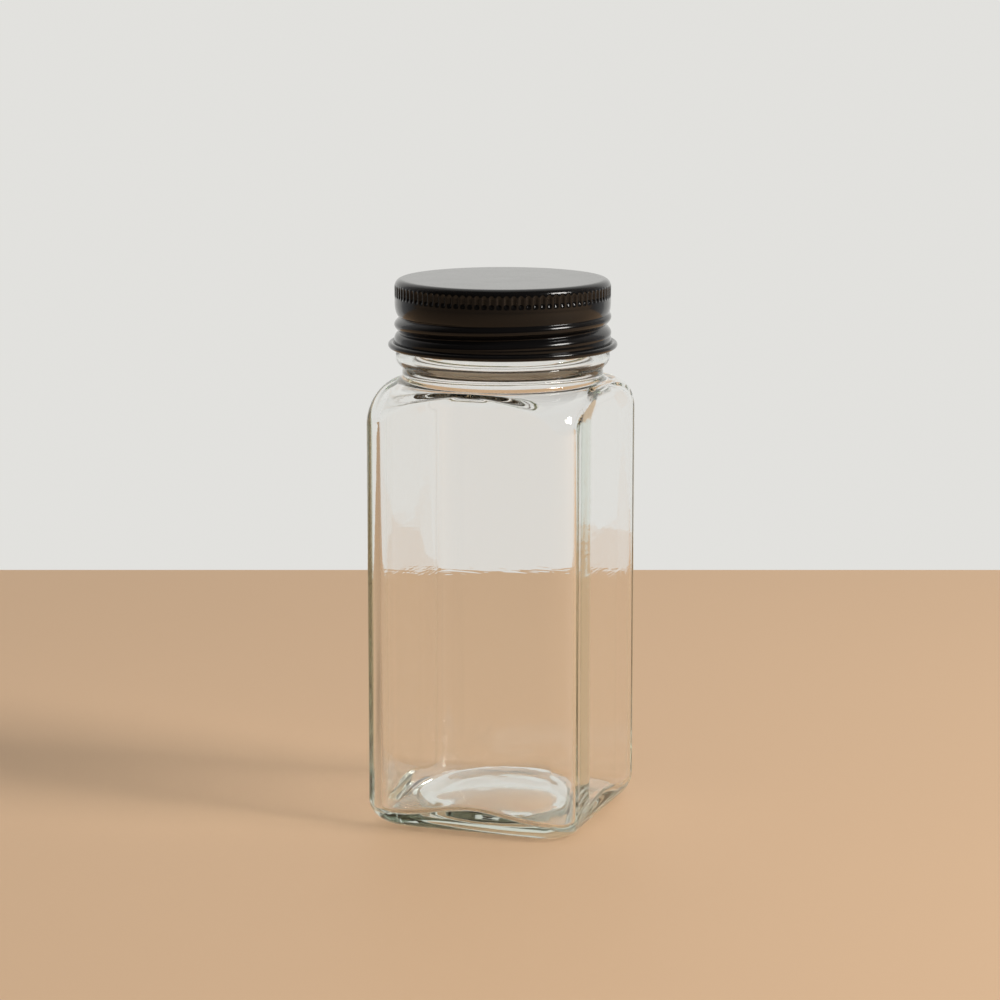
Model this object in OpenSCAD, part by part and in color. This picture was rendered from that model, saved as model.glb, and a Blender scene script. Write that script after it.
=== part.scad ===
// Square glass spice jar with a sifter in its neck and a rolled metal screw lid.
// The origin is the centre of the base, +Z is up, and the flat sides face X and Y.

/* [Glass body] */
// Width of the body across two flat sides
body_side = 43.5; // [43:0.5:60]
// Radius of the four upright corners
corner_r = 4; // [3:0.1:9]
// Thickness of the side walls
wall = 2; // [1.6:0.1:3]
// Height from the table to the top of the shoulder
shoulder_z = 88; // [60:0.5:140]
// Height in which the middle of a side turns in to the neck
shoulder_side_h = 2.9; // [1.5:0.1:5]
// Height in which an upright corner turns in to the neck
shoulder_corner_h = 7.4; // [5:0.1:12]

/* [Base] */
// How far the foot of a side is drawn in at the table
foot_side_in = 4.2; // [2:0.1:5]
// How far the foot of a corner is drawn in at the table
foot_corner_in = 6.4; // [4:0.1:7]
// Height of the rounded foot
foot_h = 5.4; // [3:0.1:8]
// Thickness of the glass floor at its edge
floor_t = 4.6; // [4:0.1:8]
// Height of the dome in the middle of the floor inside
dome_h = 1.8; // [0.5:0.1:3]
// Radius of the hollow under the base
pushup_r = 14.5; // [10:0.5:16]
// Depth of the hollow under the base
pushup_h = 2; // [1:0.1:3]

/* [Neck] */
// Radius of the neck below its thread
neck_r = 19.9; // [15:0.1:20.2]
// Thickness of the neck's glass
neck_wall = 2.5; // [2:0.1:3.5]
// Height of the neck from the shoulder to the rim
neck_h = 17.6; // [17:0.1:24]
// Reach of the hollow curve between shoulder and neck
cove = 1.2; // [0.5:0.1:1.5]
// How far the bead under the lid stands out of the neck
bead_out = 1.3; // [0.8:0.1:1.3]
// Half of the bead's height
bead_half_h = 2.2; // [1.5:0.1:2.2]
// Rounding of the rim
rim_round = 0.6; // [0.3:0.1:0.7]

/* [Thread] */
// Rise of the thread in one turn
thread_pitch = 3.175; // [2.8:0.025:3.6]
// How far the glass thread stands out of the neck
thread_h = 0.95; // [0.6:0.05:1.2]
// Height of the glass thread at its root
thread_w = 2; // [1.4:0.1:2.2]
// Clearance between the glass thread's crest and the lid
crest_gap = 0.3; // [0.2:0.05:0.5]
// Clearance between the lid's rolled groove and the neck
groove_gap = 0.35; // [0.25:0.05:0.6]

/* [Lid] */
// Height of the lid
lid_h = 13.6; // [12:0.1:15]
// Thickness of the sheet metal
sheet = 0.3; // [0.2:0.05:0.4]
// Rounding of the lid's upper edge
crown_round = 1.2; // [0.8:0.1:1.4]
// Height from the lid's top to the lower end of its fluted band
crown_h = 4.3; // [3.8:0.1:5]
// Number of flutes round the lid
flutes = 94; // [60:1:100]
// Length of a flute
flute_l = 2.8; // [2:0.1:3]
// Depth of a flute
flute_depth = 0.28; // [0.15:0.01:0.35]
// Radius of the tool that presses a flute
flute_tool_r = 0.5; // [0.4:0.05:0.55]
// Radius of the rolled wire edge at the lid's foot
curl_r = 0.75; // [0.5:0.05:0.9]

/* [Liner and sifter] */
// Thickness of the foam liner
liner_t = 1.1; // [0.6:0.1:1.6]
// Clearance above and below the liner
liner_gap = 0.1; // [0.05:0.05:0.2]
// Thickness of the sifter's flange and deck
deck_t = 0.9; // [0.6:0.1:1.2]
// Depth of the sifter's deck below its flange
deck_drop = 1.2; // [0.6:0.1:2]
// Depth to which the sifter's skirt reaches into the neck
insert_h = 8; // [5:0.5:10]
// Thickness of the sifter's skirt
insert_wall = 0.9; // [0.7:0.1:1.3]
// Clearance between the sifter's skirt and the bore
insert_gap = 0.15; // [0.1:0.05:0.3]
// Radius of the middle hole of the sifter
middle_hole_r = 3.1; // [3:0.1:3.4]
// Radius of the holes round it
ring_hole_r = 2.4; // [1:0.1:2.6]
// Number of holes round the middle one
ring_holes = 8; // [5:1:9]
// Radius of the circle that those holes stand on
ring_r = 10; // [9:0.5:12]

/* [Hidden] */
$fn = 96;
// Overlap of shapes that are joined
lap = 0.01;

corner_steps = 10;
foot_steps = 6;
shoulder_steps = 8;
cove_steps = 4;
skirt_steps = 60;
skirt_rows = 22;
thread_steps = 48;
// Where the rings of the domed floor stand, as shares of the floor's reach
dome_rings = [0.08, 0.35, 0.6, 0.82];
// Stations across the glass thread, as shares of half its width
thread_stations = [1, 0.6, 0.25, -0.25, -0.6, -1];

// Height of a side's foot as a share of a corner's foot
side_foot_share = 0.8;
// The hollow of the body has a softer foot than the outside
inner_side_h = 4.5;
inner_corner_h = 6;
inner_side_in = 4.5;
inner_corner_in = 7;
inner_shoulder_h = 3;
// Share of the wall by which the hollow's upright corners are tighter and its shoulder is lower
inner_share = 0.5;
// How far the hollow's top reaches in past the bore, so that the two cuts meet
bore_lip = 0.4;
// Depth to which the neck's and the thread's roots are sunk in the glass
cove_skin = 0.05;
thread_skin = 0.08;
thread_sink = 0.5;
// Part of a turn in which the thread rises and dies away
thread_fade = 0.1;

// Drop from the lid's foot to the middle of the glass bead
bead_drop = 1.6;
// Drop from the lid's top to the crest of the rolled thread at the +X side
crest_drop = 7.65;
// Step in from the widest part of the skirt to the fluted band
crown_step = 0.1;
// Drop from the lid's top to the upper end of a flute, as a share of the upper edge's rounding
flute_start = 0.6;
// Plain sheet between the wire edge and the rolled grooves, and between those and the flutes
low_strip = 0.3;
high_strip = 0.1;
groove_fade = 1.3;
// Height in which the rolled crest dies away at its upper end
crest_fade = 1;
// Part of the wire edge's roll in which the sheet runs out into it
crease_share = 0.66;
// How far the wire edge's roll laps the sheet, and how far the sheet runs up into the crown
curl_lap = 0.25;
skirt_lap = 0.05;
crown_lap = 0.4;
// Draw-in of the sheet under the fluted band
skirt_neck = 0.2;

// Room round the liner in the lid
liner_room = 0.7;
// Sealing rings of the sifter: tube radius, drops below the rim, and their clearance to the bore
seal_r = 0.3;
seal_drops = [2.5, 5];
seal_gap = 0.02;

half_side = body_side / 2;
bore_r = neck_r - neck_wall;
rim_z = shoulder_z + neck_h;
flange_top_z = rim_z + deck_t;
liner_z = flange_top_z + liner_gap;
lid_top_z = liner_z + liner_t + liner_gap + sheet;
lid_foot_z = lid_top_z - lid_h;
curl_z = lid_foot_z + curl_r;
crown_foot_z = lid_top_z - crown_h;
bead_z = lid_foot_z - bead_drop;

lid_r = neck_r + thread_h + crest_gap + sheet;
groove_r = neck_r + groove_gap + sheet;
crown_r = lid_r - crown_step;
crown_wall = sheet + flute_depth;
liner_r = crown_r - crown_wall - liner_room;

// The rolled grooves fade in above the wire edge and fade out under the flutes
groove_low_z = curl_z + curl_r + low_strip;
groove_high_z = crown_foot_z - high_strip;
// Height at which the thread's crest passes the +X side
crest_z = lid_top_z - crest_drop;
thread_low_z = groove_low_z + groove_fade;
thread_high_z = groove_high_z - groove_fade - crest_fade;

// Least half length of the flat part of a ring's side
least_flat = 0.03;
// Distance from the axis to the corner of a rounded square
function corner_reach(side, r) = (side - r) * sqrt(2) + r;
// Falls from 1 to 0 along a quarter of an ellipse while u grows from 0 to 1
function quarter(u) = sqrt(max(0, 1 - u * u));
// Rises smoothly from 0 at low to 1 at high
function ease(x, low, high) =
    let (u = min(1, max(0, (x - low) / (high - low)))) u * u * (3 - 2 * u);

// Loop of points at height z whose sides stand at side and whose corners reach diagonal
function rounded_ring(side, diagonal, z) =
    let (r = min((side * sqrt(2) - diagonal) / (sqrt(2) - 1), side - least_flat), c = side - r)
    [for (q = [0:3], k = [0:corner_steps])
        let (a = 90 * (q + k / corner_steps), m = 45 + 90 * q)
        [c * sqrt(2) * cos(m) + r * cos(a), c * sqrt(2) * sin(m) + r * sin(a), z]];

// Reach from the axis at height z of a wall with a rounded foot and a shoulder:
// foot = [height it starts at, height, how far it is drawn in], top = [height it ends at, height, radius]
function wall_reach(z, full, foot, top) =
    z < foot[0] + foot[1]
        ? full - foot[2] * (1 - quarter(1 - (z - foot[0]) / foot[1]))
        : z > top[0] - top[1]
            ? top[2] + (full - top[2]) * quarter((z - top[0] + top[1]) / top[1])
            : full;

// Closed solid through loops of points that are stacked upwards
module loft(rings) {
    n = len(rings[0]);
    m = len(rings);
    polyhedron(
        points = [for (ring = rings) each ring],
        faces = concat(
            [[for (k = [0:n - 1]) k]],
            [for (j = [0:m - 2], k = [0:n - 1])
                let (a = j * n + k, b = j * n + (k + 1) % n)
                each [[a, a + n, b + n], [a, b + n, b]]],
            [[for (k = [n - 1:-1:0]) (m - 1) * n + k]]),
        convexity = 6);
}

// Closed band whose last loop of points joins its first
module band(rings) {
    n = len(rings[0]);
    m = len(rings);
    polyhedron(
        points = [for (ring = rings) each ring],
        faces = [for (j = [0:m - 1], k = [0:n - 1])
            let (next = ((j + 1) % m) * n, b = (k + 1) % n)
            each [[j * n + k, next + k, next + b], [j * n + k, next + b, j * n + b]]],
        convexity = 6);
}

// Outside of the glass from the table to the root of the neck
module body_outside() {
    top_r = neck_r + cove;
    full_corner = corner_reach(half_side, corner_r);
    levels = concat(
        [for (k = [0:foot_steps]) foot_h * (1 - cos(90 * k / foot_steps))],
        [for (k = [0:shoulder_steps])
            shoulder_z - shoulder_corner_h * (1 - sin(90 * k / shoulder_steps))]);
    side_foot = [0, foot_h * side_foot_share, foot_side_in];
    corner_foot = [0, foot_h, foot_corner_in];
    function side_at(z) = wall_reach(z, half_side, side_foot, [shoulder_z, shoulder_side_h, top_r]);
    function corner_at(z) = wall_reach(z, full_corner, corner_foot, [shoulder_z, shoulder_corner_h, top_r]);
    function cove_at(u) = neck_r + cove_skin + cove * (1 - quarter(1 - u));
    loft(concat(
        [for (z = levels) rounded_ring(side_at(z), corner_at(z), z)],
        [for (k = [1:cove_steps])
            let (r = cove_at(k / cove_steps))
            rounded_ring(r, r, shoulder_z + cove * k / cove_steps)]));
}

// Hollow of the body, from the domed floor to inside the neck
module body_inside() {
    side = half_side - wall;
    full_corner = corner_reach(side, corner_r - wall * inner_share);
    top_z = shoulder_z - wall * inner_share;
    top_r = bore_r - bore_lip;
    levels = concat(
        [for (k = [0:foot_steps]) floor_t + inner_corner_h * (1 - cos(90 * k / foot_steps))],
        [for (k = [0:shoulder_steps])
            top_z - shoulder_corner_h * (1 - sin(90 * k / shoulder_steps))]);
    side_foot = [floor_t, inner_side_h, inner_side_in];
    corner_foot = [floor_t, inner_corner_h, inner_corner_in];
    function side_at(z) = wall_reach(z, side, side_foot, [top_z, inner_shoulder_h, top_r]);
    function corner_at(z) = wall_reach(z, full_corner, corner_foot, [top_z, shoulder_corner_h, top_r]);
    loft(concat(
        [for (f = dome_rings)
            rounded_ring(f * side_at(floor_t), f * corner_at(floor_t), floor_t + dome_h * (1 - f * f))],
        [for (z = levels) rounded_ring(side_at(z), corner_at(z), z)]));
}

// Round neck with its bead and rounded rim, filled
module neck_outside() {
    bead_tube = (bead_out * bead_out + bead_half_h * bead_half_h) / (2 * bead_out);
    translate([0, 0, shoulder_z - wall])
        cylinder(r = neck_r, h = neck_h + wall - rim_round);
    rotate_extrude() {
        translate([neck_r - rim_round, rim_z - rim_round]) circle(rim_round, $fn = 32);
        translate([0, rim_z - rim_round - 1]) square([neck_r - rim_round, rim_round + 1]);
    }
    rotate_extrude() {
        translate([neck_r + bead_out - bead_tube, bead_z]) circle(bead_tube, $fn = 48);
    }
}

// Ridge that winds up the neck and dies away at both ends
module glass_thread() {
    turn_low = (thread_low_z - crest_z) / thread_pitch;
    turn_high = (thread_high_z - crest_z) / thread_pitch;
    count = ceil((turn_high - turn_low) * thread_steps);
    function height_at(turn) =
        (thread_h + thread_skin) * ease(turn, turn_low, turn_low + thread_fade)
        * (1 - ease(turn, turn_high - thread_fade, turn_high));
    function point(turn, r, dz) =
        [r * cos(360 * turn), r * sin(360 * turn), crest_z + thread_pitch * turn + dz];
    loft([for (k = [0:count])
        let (turn = turn_low + (turn_high - turn_low) * k / count)
        concat(
            [for (s = thread_stations)
                point(turn, neck_r - thread_skin + height_at(turn) * pow(cos(90 * s), 2), s * thread_w / 2)],
            [for (s = [-1, 1]) point(turn, neck_r - thread_sink, s * thread_w / 2)])]);
}

module jar() {
    pushup_ball = (pushup_r * pushup_r + pushup_h * pushup_h) / (2 * pushup_h);
    color([0.80, 0.88, 0.86])
        difference() {
            union() {
                body_outside();
                neck_outside();
                glass_thread();
            }
            body_inside();
            translate([0, 0, shoulder_z - wall - 1]) cylinder(r = bore_r, h = neck_h + wall + 2);
            translate([0, 0, pushup_h - pushup_ball]) sphere(pushup_ball, $fn = 180);
        }
}

module shaker_insert() {
    skirt_r = bore_r - insert_gap;
    deck_z = flange_top_z - deck_drop - deck_t;
    color([0.93, 0.93, 0.90])
        difference() {
            union() {
                translate([0, 0, rim_z]) cylinder(r = neck_r - rim_round, h = deck_t);
                translate([0, 0, rim_z - insert_h]) cylinder(r = skirt_r, h = insert_h + lap);
                for (drop = seal_drops)
                    rotate_extrude()
                        translate([skirt_r - seal_r, rim_z - drop])
                            circle(seal_r + insert_gap - seal_gap, $fn = 24);
            }
            translate([0, 0, flange_top_z - deck_drop])
                cylinder(r = skirt_r - insert_wall, h = deck_drop + 1);
            translate([0, 0, rim_z - insert_h - 1])
                cylinder(r = skirt_r - insert_wall, h = deck_z - rim_z + insert_h + 1);
            translate([0, 0, deck_z - 1]) {
                cylinder(r = middle_hole_r, h = deck_t + 2);
                for (k = [0:ring_holes - 1])
                    rotate(360 * k / ring_holes)
                        translate([ring_r, 0, 0]) cylinder(r = ring_hole_r, h = deck_t + 2);
            }
        }
}

module liner() {
    color([0.90, 0.89, 0.85])
        translate([0, 0, liner_z]) cylinder(r = liner_r, h = liner_t);
}

// Flat top and fluted band of the lid, from one revolved profile
module lid_crown() {
    flute_low_z = lid_top_z - crown_round * flute_start - flute_l;
    difference() {
        rotate_extrude() {
            difference() {
                union() {
                    translate([0, crown_foot_z]) square([crown_r, crown_h - crown_round]);
                    translate([0, lid_top_z - crown_round - lap])
                        square([crown_r - crown_round, crown_round + lap]);
                    translate([crown_r - crown_round, lid_top_z - crown_round]) circle(crown_round, $fn = 48);
                }
                translate([-1, crown_foot_z - 1])
                    square([1 + crown_r - crown_wall, crown_h + 1 - crown_round]);
                translate([-1, lid_top_z - crown_round - 1])
                    square([1 + crown_r - crown_round, crown_round + 1 - sheet]);
                translate([crown_r - crown_round - crown_step, lid_top_z - crown_round])
                    circle(crown_round - sheet, $fn = 48);
            }
        }
        for (k = [0:flutes - 1])
            rotate(360 * k / flutes)
                translate([crown_r - flute_depth + flute_tool_r, 0, flute_low_z])
                    cylinder(r = flute_tool_r, h = flute_l, $fn = 24);
    }
}

// Sheet with rolled screw grooves, from inside the wire edge to inside the crown
module lid_skirt() {
    low = curl_z;
    high = crown_foot_z + crown_lap;
    levels = [for (k = [0:skirt_rows]) low + (high - low) * k / skirt_rows];
    // Height of the rolled crest that is nearest to a point
    function nearest_crest(a, z) =
        crest_z + thread_pitch * (a / 360 + round((z - crest_z) / thread_pitch - a / 360));
    // 1 on the crest of the rolled thread and 0 in its groove, and past the crest's upper end
    function crest(a, z) =
        (0.5 + 0.5 * cos(360 * (z - crest_z) / thread_pitch - a))
        * (1 - ease(nearest_crest(a, z), thread_high_z, thread_high_z + crest_fade));
    function rolled(z) =
        ease(z, groove_low_z, groove_low_z + groove_fade)
        * (1 - ease(z, groove_high_z - groove_fade, groove_high_z));
    function plain(z) =
        lid_r + (curl_r - skirt_lap) * (1 - ease(z, curl_z, curl_z + curl_r * crease_share))
        - skirt_neck * ease(z, groove_high_z - groove_fade, crown_foot_z);
    function skin_r(a, z) = plain(z) - (plain(z) - groove_r) * (1 - crest(a, z)) * rolled(z);
    function loop(z, inset) =
        [for (k = [0:skirt_steps - 1])
            let (a = 360 * k / skirt_steps, r = skin_r(a, z) - inset)
            [r * cos(a), r * sin(a), z]];
    band(concat(
        [for (z = levels) loop(z, 0)],
        [for (k = [skirt_rows:-1:0]) loop(levels[k], sheet)]));
}

module lid() {
    color([0.10, 0.10, 0.11])
        union() {
            lid_crown();
            lid_skirt();
            rotate_extrude() translate([lid_r + curl_r - curl_lap, curl_z]) circle(curl_r, $fn = 32);
        }
}

jar();
shaker_insert();
liner();
lid();
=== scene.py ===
"""Square glass spice jar with a black screw lid, a foam liner and a sifter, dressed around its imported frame."""

import math
from collections import namedtuple

import bpy
import numpy as np
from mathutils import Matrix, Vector


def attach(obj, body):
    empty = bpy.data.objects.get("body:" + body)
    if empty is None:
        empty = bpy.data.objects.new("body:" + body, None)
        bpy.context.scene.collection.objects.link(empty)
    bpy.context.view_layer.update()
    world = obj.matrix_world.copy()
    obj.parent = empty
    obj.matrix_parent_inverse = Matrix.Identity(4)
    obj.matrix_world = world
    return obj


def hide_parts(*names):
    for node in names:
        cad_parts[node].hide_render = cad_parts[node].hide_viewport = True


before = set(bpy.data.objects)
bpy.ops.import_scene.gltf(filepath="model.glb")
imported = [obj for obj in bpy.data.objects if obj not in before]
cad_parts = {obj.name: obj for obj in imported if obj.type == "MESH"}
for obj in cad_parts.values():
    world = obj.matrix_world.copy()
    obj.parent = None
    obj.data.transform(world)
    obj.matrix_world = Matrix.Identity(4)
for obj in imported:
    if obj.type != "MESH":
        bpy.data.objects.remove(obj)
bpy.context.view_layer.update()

bl_info = {
    "name": "Spice jar",
    "version": (1, 0, 0),
    "blender": (4, 5, 0),
    "location": "3D View > Sidebar > Spice Jar",
    "description": "Builds a square glass spice jar with a rolled-thread screw lid",
    "category": "Add Mesh",
}

MM = 0.001
TURN = 2 * math.pi


def length(name, description, millimetres):
    """A size in metres that the user can change, with its default written in millimetres."""
    return bpy.props.FloatProperty(
        name=name, description=description, default=millimetres * MM, unit="LENGTH", precision=5)


def angle(name, description, degrees):
    return bpy.props.FloatProperty(
        name=name, description=description, default=math.radians(degrees), subtype="ANGLE")


def colour(name, description, default):
    return bpy.props.FloatVectorProperty(
        name=name, description=description, default=default, subtype="COLOR", size=3, min=0, max=1)


def number(name, description, default, top=1.0):
    return bpy.props.FloatProperty(name=name, description=description, default=default, min=0, max=top)


def count(name, description, default):
    return bpy.props.IntProperty(name=name, description=description, default=default, min=1)


# ---------------------------------------------------------------- settings


class GlassSettings(bpy.types.PropertyGroup):
    half_side: length("Half width", "From the axis to a flat side", 21.75)
    corner_r: length("Corner radius", "Radius of the upright corners", 4.0)
    wall: length("Wall", "Thickness of the side walls in their middle", 2.0)
    wall_thin: length("Wall thinning", "How much thinner the side walls get towards the corners", 0.45)
    heavy: length("Heavy corner", "How much thicker the glass is at the corner between -X and -Y", 0.3)
    foot_h: length("Foot height", "Height of the rounded foot", 5.4)
    foot_side_in: length("Foot of a side", "How far the foot of a side is drawn in", 4.2)
    foot_corner_in: length("Foot of a corner", "How far the foot of a corner is drawn in", 6.4)
    inner_corner_r: length("Inner corner radius", "Radius of the upright corners inside", 3.2)
    floor_side_z: length("Floor at a side", "Height of the floor inside at the foot of a side", 4.6)
    floor_corner_z: length("Floor at a corner", "Height of the floor inside at the foot of a corner", 2.8)
    floor_middle_z: length("Floor in the middle", "Height of the floor inside in its middle", 7.0)
    inner_side_h: length("Inner foot of a side", "Height of the rounded inner foot of a side", 1.8)
    inner_corner_h: length("Inner foot of a corner", "Height of the rounded inner foot of a corner", 1.5)
    inner_side_in: length("Inner side draw", "How far the inner foot of a side is drawn in", 2.2)
    inner_corner_in: length("Inner corner draw", "How far the inner foot of a corner is drawn in", 3.0)
    pushup_r: length("Hollow radius", "Radius of the hollow under the base", 14.5)
    pushup_h: length("Hollow depth", "Depth of the hollow under the base", 2.0)
    shoulder_z: length("Shoulder height", "Height of the top of the shoulder", 88.0)
    shoulder_side_h: length("Shoulder of a side", "Height in which a side turns in to the neck", 2.9)
    shoulder_corner_h: length("Shoulder of a corner", "Height in which a corner turns in to the neck", 7.4)
    inner_shoulder_side_h: length(
        "Inner shoulder of a side", "Height in which a side turns in to the bore", 2.1)
    inner_shoulder_corner_h: length(
        "Inner shoulder of a corner", "Height in which a corner turns in to the bore", 5.8)
    neck_r: length("Neck radius", "Radius of the neck below its thread", 19.9)
    neck_wall: length("Neck wall", "Thickness of the neck's glass", 2.5)
    neck_flare: length("Neck flare", "How much wider the neck is inside at its foot", 1.2)
    flare_z: length("Flare height", "Height at which the neck starts to flare inside", 96.0)
    cove: length("Cove", "Reach of the hollow curve between shoulder and neck", 1.2)
    bead_z: length("Bead height", "Height of the middle of the bead", 92.9)
    bead_out: length("Bead", "How far the bead stands out of the neck", 1.3)
    bead_half_h: length("Half bead", "Half of the bead's height", 2.2)
    rim_z: length("Rim height", "Height of the rim of the glass", 105.6)
    rim_round: length("Rim rounding", "Rounding of the rim", 0.6)
    thread_h: length("Thread height", "How far the glass thread stands out", 0.95)
    thread_w: length("Thread width", "Height of the glass thread at its root", 2.0)
    thread_low: length("Thread start", "Height at which the glass thread starts", 97.6)
    thread_high: length("Thread end", "Height at which the glass thread ends", 101.2)
    stipple_h: length("Stipple", "Height of the ridges round the base", 0.35)
    stipples: count("Stipples", "Ridges in a full turn of the base", 180)
    wave_in: length("Inner wave", "Unevenness of the blown inside", 0.035)
    wave_out: length("Outer wave", "Unevenness of the moulded outside", 0.012)
    tint: colour("Tint", "Colour that a long way through the glass takes", (0.88, 0.91, 0.87))
    tint_density: number("Tint density", "How strongly the glass takes its colour", 50.0, 500.0)
    shade: colour("Shade", "Share of the lamp's light that a face of the glass lets through", (0.58, 0.58, 0.58))


class ThreadSettings(bpy.types.PropertyGroup):
    pitch: length("Pitch", "Rise of the thread in one turn", 3.175)
    crest_z: length("Crest height", "Height at which the crest passes the +X side", 100.45)


class LidSettings(bpy.types.PropertyGroup):
    top_z: length("Top", "Height of the lid's top", 108.1)
    skirt_r: length("Skirt radius", "Radius on the crests of the rolled thread", 21.45)
    groove: length("Groove depth", "Depth of the rolled grooves", 1.1)
    swell: number("Crest swell", "How sharp the rolled crests are: 1 is full and round", 1.15, 4.0)
    foot_roll_z: length("Skirt foot", "Height up to which the skirt is straight above the wire edge", 96.1)
    foot_roll_h: length("Skirt foot roll", "Height in which the foot rolls in to the lowest groove", 1.5)
    top_roll_z: length("Band foot", "Height of the foot of the fluted band", 103.75)
    top_roll_h: length("Band foot roll", "Height in which the sheet rolls in under the fluted band", 3.15)
    crest_end: length("Crest end", "Height at which the rolled crest starts to die away", 101.2)
    crest_fade: length("Crest fade", "Height in which the rolled crest dies away", 1.0)
    crown_r: length("Crown radius", "Radius of the fluted band", 21.35)
    crown_round: length("Crown rounding", "Rounding of the lid's upper edge", 1.5)
    crown_wall: length("Crown wall", "Thickness of the fluted band", 0.58)
    sheet: length("Sheet", "Thickness of the sheet", 0.3)
    flutes: count("Flutes", "Number of flutes round the lid", 94)
    flute_depth: length("Flute depth", "Depth of a flute", 0.28)
    flute_w: length("Flute width", "Width of a flute", 0.9)
    flute_top: length("Flute top", "Height of a flute's upper end", 107.15)
    flute_foot: length("Flute foot", "Height of a flute's lower end", 104.3)
    flute_fade: length("Flute run-out", "Height in which a flute's ends run out", 0.9)
    curl_z: length("Curl height", "Height of the middle of the wire edge", 95.03)
    curl_r: length("Curl radius", "Radius of the wire edge's roll", 0.62)
    curl_at: length("Curl place", "Radius of the circle the wire edge runs on", 22.065)
    lacquer: colour("Lacquer", "Colour of the lacquer", (0.0045, 0.0043, 0.0045))
    gloss: number("Lacquer roughness", "Roughness of the lacquer", 0.17)


class FitmentSettings(bpy.types.PropertyGroup):
    liner_z: length("Liner foot", "Height of the underside of the liner", 106.6)
    liner_t: length("Liner", "Thickness of the foam liner", 1.1)
    liner_r: length("Liner radius", "Radius of the foam liner", 20.07)
    print_depth: length("Print", "Depth of the print that the rim leaves in the liner", 0.12)
    foam: colour("Foam", "Colour of the foam", (0.80, 0.79, 0.74))
    deck_z: length("Deck foot", "Height of the underside of the sifter's deck", 104.4)
    deck_t: length("Deck", "Thickness of the sifter's deck", 0.9)
    flange_r: length("Flange radius", "Radius of the sifter's flange", 19.3)
    sleeve_r: length("Sleeve radius", "Outer radius of the sifter's sleeve", 17.25)
    sleeve_wall: length("Sleeve wall", "Thickness of the sifter's sleeve", 0.9)
    sleeve_foot: length("Sleeve foot", "Height of the lower end of the sleeve", 97.6)
    middle_hole_r: length("Middle hole", "Radius of the middle hole", 3.1)
    ring_hole_r: length("Outer holes", "Radius of the holes round it", 2.4)
    ring_holes: count("Number of outer holes", "Holes round the middle one", 8)
    ring_r: length("Hole circle", "Radius of the circle of holes", 10.0)
    plastic: colour("Plastic", "Colour of the sifter", (0.80, 0.80, 0.76))


class StageSettings(bpy.types.PropertyGroup):
    floor_far: length("Floor behind", "How far the floor reaches behind the jar", 245.0)
    floor_near: length("Floor in front", "How far the floor reaches in front of the jar", 1500.0)
    floor_half: length("Half floor", "Half of the floor's width", 1500.0)
    floor_colour: colour("Floor colour", "Colour of the floor", (0.70, 0.47, 0.29))
    wall_colour: colour("Backdrop colour", "Colour of the surroundings", (0.76, 0.755, 0.73))
    fill: number("Fill", "Strength of the surroundings as a light", 0.62, 4.0)
    key_power: number("Key power", "Power of the soft key lamp in watts", 11.0, 500.0)
    key_colour: colour("Key colour", "Colour of the key lamp", (1.0, 0.97, 0.93))
    key_side: length("Key size", "Width of the key lamp's disk", 400.0)
    key_away: length("Key distance", "Distance of the key lamp", 1200.0)
    key_azimuth: angle("Key azimuth", "Turn of the key lamp round the jar from the -Y side", 88)
    key_height: angle("Key elevation", "Elevation of the key lamp", 36)
    eye: bpy.props.FloatVectorProperty(
        name="Camera place", description="Where the camera stands", size=3,
        default=(0.2121, -0.6097, 0.1807), subtype="XYZ", unit="LENGTH")
    heading: angle("Camera heading", "Turn of the line of sight from +Y towards -X", 19.23)
    pitch: angle("Camera pitch", "Fall of the line of sight", 10.28)
    lens: number("Lens", "Focal length in millimetres", 118.4, 1000.0)


SETTINGS = {"jar_glass": GlassSettings, "jar_thread": ThreadSettings, "jar_lid": LidSettings,
            "jar_fitments": FitmentSettings, "jar_stage": StageSettings}


# ---------------------------------------------------------------- node maths


class Wire:
    """One output of a node. Sums on it add Math nodes to its tree."""

    def __init__(self, tree, socket):
        self.tree, self.socket = tree, socket

    def node(self, kind, settings=None, sockets=None, output=0):
        """Any other node in the same tree."""
        return add_node(self.tree, kind, settings, sockets, output)

    def math(self, operation, *others):
        return self.node("ShaderNodeMath", {"operation": operation}, dict(enumerate((self, *others))))

    def __add__(self, other):
        return self.math("ADD", other)

    def __sub__(self, other):
        return self.math("SUBTRACT", other)

    def __mul__(self, other):
        return self.math("MULTIPLY", other)

    def __truediv__(self, other):
        return self.math("DIVIDE", other)

    def __rsub__(self, other):
        return self * -1 + other

    def __rtruediv__(self, other):
        return self.math("POWER", -1) * other

    __radd__, __rmul__ = __add__, __mul__

    def ease(self, low, high):
        """Rises smoothly from 0 where this is low to 1 where it is high."""
        return self.node("ShaderNodeMapRange", {"interpolation_type": "SMOOTHSTEP"},
                         {"Value": self, "From Min": low, "From Max": high})


def add_node(tree, kind, settings=None, sockets=None, output=0):
    """Adds a node, sets its settings and then its sockets, by place or identifier, and gives one output."""
    made = tree.nodes.new(kind)
    for name, value in (settings or {}).items():
        setattr(made, name, value)
    named = {s.identifier: s for s in made.inputs}
    for key, value in (sockets or {}).items():
        socket = made.inputs[key] if isinstance(key, int) else named[key]
        if isinstance(value, Wire):
            tree.links.new(value.socket, socket)
        else:
            socket.default_value = value
    if isinstance(output, int):
        return Wire(tree, made.outputs[output])
    return Wire(tree, next(s for s in made.outputs if s.identifier == output))


def blend(factor, a, b):
    """Colour b over colour a by a factor."""
    return factor.node("ShaderNodeMix", {"data_type": "RGBA"},
                       {"Factor_Float": factor, "A_Color": (*a, 1), "B_Color": (*b, 1)}, "Result_Color")


# ---------------------------------------------------------------- meshes


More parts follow.
